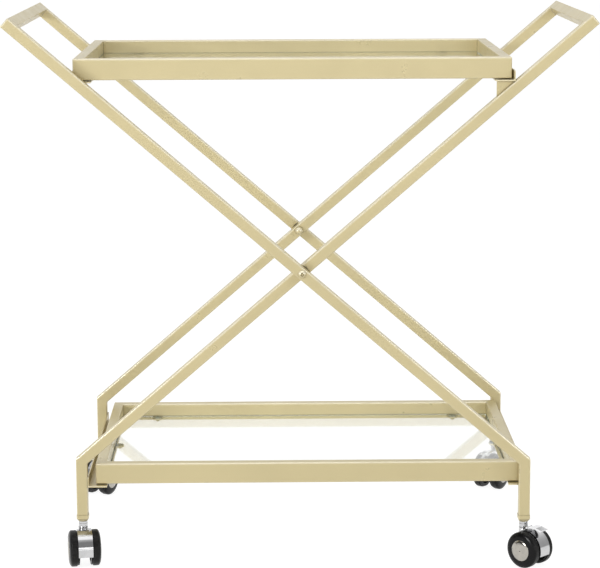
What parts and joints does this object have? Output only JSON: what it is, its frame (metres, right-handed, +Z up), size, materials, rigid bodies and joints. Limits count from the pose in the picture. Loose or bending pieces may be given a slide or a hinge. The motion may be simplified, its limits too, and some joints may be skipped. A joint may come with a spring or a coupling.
{
  "type": "bar cart",
  "caption": "Serving cart with crossed frames of square tube ending in handles, glass trays on two levels, and swivelling twin-wheel casters with brakes at one end.",
  "frame": {"origin": "on the floor, below the middle of the crossed frames, halfway between the two pivot screws", "axes": "+X along the cart's length toward the handle of the inner frame and the braked casters; +Y across the cart, away from the side seen first; +Z up"},
  "size_m": [0.8874, 0.5157, 0.8418],
  "materials": {
    "gold_paint": "satin champagne gold powder coat",
    "bolt_steel": "zinc plated",
    "washer_nylon": "black nylon",
    "pad_rubber": "soft matt",
    "glass": "clear tempered with ground edges",
    "bumper_clear": "clear soft vinyl",
    "chrome": "polished",
    "wheel_black": "gloss black nylon"
  },
  "bodies": {
    "cart": {"outer_bar_front": "gold_paint", "outer_bar_rear": "gold_paint", "outer_leg_front": "gold_paint", "outer_leg_rear": "gold_paint", "inner_bar_front": "gold_paint", "inner_bar_rear": "gold_paint", "inner_leg_front": "gold_paint", "inner_leg_rear": "gold_paint", "outer_handle": "gold_paint", "inner_handle": "gold_paint", "pivot_bolts": "gold_paint", "pivot_washers": "washer_nylon", "pivot_nuts": "bolt_steel", "top_left_support": "gold_paint", "top_right_support": "gold_paint", "bottom_left_support": "gold_paint", "bottom_right_support": "gold_paint", "support_gussets": "gold_paint", "top_tray_front_rail": "gold_paint", "top_tray_rear_rail": "gold_paint", "top_tray_left_rail": "gold_paint", "top_tray_right_rail": "gold_paint", "bottom_tray_front_rail": "gold_paint", "bottom_tray_rear_rail": "gold_paint", "bottom_tray_left_rail": "gold_paint", "bottom_tray_right_rail": "gold_paint", "top_glass": "glass", "bottom_glass": "glass", "glass_tabs": "gold_paint", "glass_bumpers": "bumper_clear", "tray_screws": "bolt_steel", "tray_pads": "pad_rubber", "leg_ferrules": "gold_paint", "caster_stems": "chrome"},
    "front_left_swivel_body": {"front_left_hood": "chrome", "front_left_axle": "bolt_steel"},
    "front_left_wheel_a_body": {"front_left_wheel_a": "wheel_black", "front_left_cap_a": "chrome"},
    "front_left_wheel_b_body": {"front_left_wheel_b": "wheel_black", "front_left_cap_b": "chrome"},
    "front_right_swivel_body": {"front_right_hood": "chrome", "front_right_axle": "bolt_steel"},
    "front_right_wheel_a_body": {"front_right_wheel_a": "wheel_black", "front_right_cap_a": "chrome"},
    "front_right_wheel_b_body": {"front_right_wheel_b": "wheel_black", "front_right_cap_b": "chrome"},
    "front_right_lever_body": {"front_right_brake_lever": "chrome"},
    "rear_left_swivel_body": {"rear_left_hood": "chrome", "rear_left_axle": "bolt_steel"},
    "rear_left_wheel_a_body": {"rear_left_wheel_a": "wheel_black", "rear_left_cap_a": "chrome"},
    "rear_left_wheel_b_body": {"rear_left_wheel_b": "wheel_black", "rear_left_cap_b": "chrome"},
    "rear_right_swivel_body": {"rear_right_hood": "chrome", "rear_right_axle": "bolt_steel"},
    "rear_right_wheel_a_body": {"rear_right_wheel_a": "wheel_black", "rear_right_cap_a": "chrome"},
    "rear_right_wheel_b_body": {"rear_right_wheel_b": "wheel_black", "rear_right_cap_b": "chrome"},
    "rear_right_lever_body": {"rear_right_brake_lever": "chrome"}
  },
  "joints": [
    {"name": "front_left_swivel", "type": "hinge", "parent": "cart", "child": "front_left_swivel_body", "pos_m": [-0.34, -0.206, 0.05], "axis": [0, 0, 1], "continuous": true},
    {"name": "front_left_wheel_a_spin", "type": "hinge", "parent": "front_left_swivel_body", "child": "front_left_wheel_a_body", "pos_m": [-0.33774, -0.2188, 0.028], "axis": [0.9848, 0.1736, 0], "continuous": true},
    {"name": "front_left_wheel_b_spin", "type": "hinge", "parent": "front_left_swivel_body", "child": "front_left_wheel_b_body", "pos_m": [-0.33774, -0.2188, 0.028], "axis": [0.9848, 0.1736, 0], "continuous": true},
    {"name": "front_right_swivel", "type": "hinge", "parent": "cart", "child": "front_right_swivel_body", "pos_m": [0.34, -0.2245, 0.05], "axis": [0, 0, 1], "continuous": true},
    {"name": "front_right_wheel_a_spin", "type": "hinge", "parent": "front_right_swivel_body", "child": "front_right_wheel_a_body", "pos_m": [0.34935, -0.23353, 0.028], "axis": [0.6947, 0.7193, 0], "continuous": true},
    {"name": "front_right_wheel_b_spin", "type": "hinge", "parent": "front_right_swivel_body", "child": "front_right_wheel_b_body", "pos_m": [0.34935, -0.23353, 0.028], "axis": [0.6947, 0.7193, 0], "continuous": true},
    {"name": "front_right_brake", "type": "hinge", "parent": "front_right_swivel_body", "child": "front_right_lever_body", "pos_m": [0.34776, -0.23199, 0.05962], "axis": [0.6947, 0.7193, 0], "range_deg": [0, 22]},
    {"name": "rear_left_swivel", "type": "hinge", "parent": "cart", "child": "rear_left_swivel_body", "pos_m": [-0.34, 0.206, 0.05], "axis": [0, 0, 1], "continuous": true},
    {"name": "rear_left_wheel_a_spin", "type": "hinge", "parent": "rear_left_swivel_body", "child": "rear_left_wheel_a_body", "pos_m": [-0.34549, 0.19422, 0.028], "axis": [0.9063, -0.4226, 0], "continuous": true},
    {"name": "rear_left_wheel_b_spin", "type": "hinge", "parent": "rear_left_swivel_body", "child": "rear_left_wheel_b_body", "pos_m": [-0.34549, 0.19422, 0.028], "axis": [0.9063, -0.4226, 0], "continuous": true},
    {"name": "rear_right_swivel", "type": "hinge", "parent": "cart", "child": "rear_right_swivel_body", "pos_m": [0.34, 0.2245, 0.05], "axis": [0, 0, 1], "continuous": true},
    {"name": "rear_right_wheel_a_spin", "type": "hinge", "parent": "rear_right_swivel_body", "child": "rear_right_wheel_a_body", "pos_m": [0.33311, 0.21347, 0.028], "axis": [0.848, -0.5299, 0], "continuous": true},
    {"name": "rear_right_wheel_b_spin", "type": "hinge", "parent": "rear_right_swivel_body", "child": "rear_right_wheel_b_body", "pos_m": [0.33311, 0.21347, 0.028], "axis": [0.848, -0.5299, 0], "continuous": true},
    {"name": "rear_right_brake", "type": "hinge", "parent": "rear_right_swivel_body", "child": "rear_right_lever_body", "pos_m": [0.33428, 0.21535, 0.05962], "axis": [0.848, -0.5299, 0], "range_deg": [0, 22]}
  ]
}
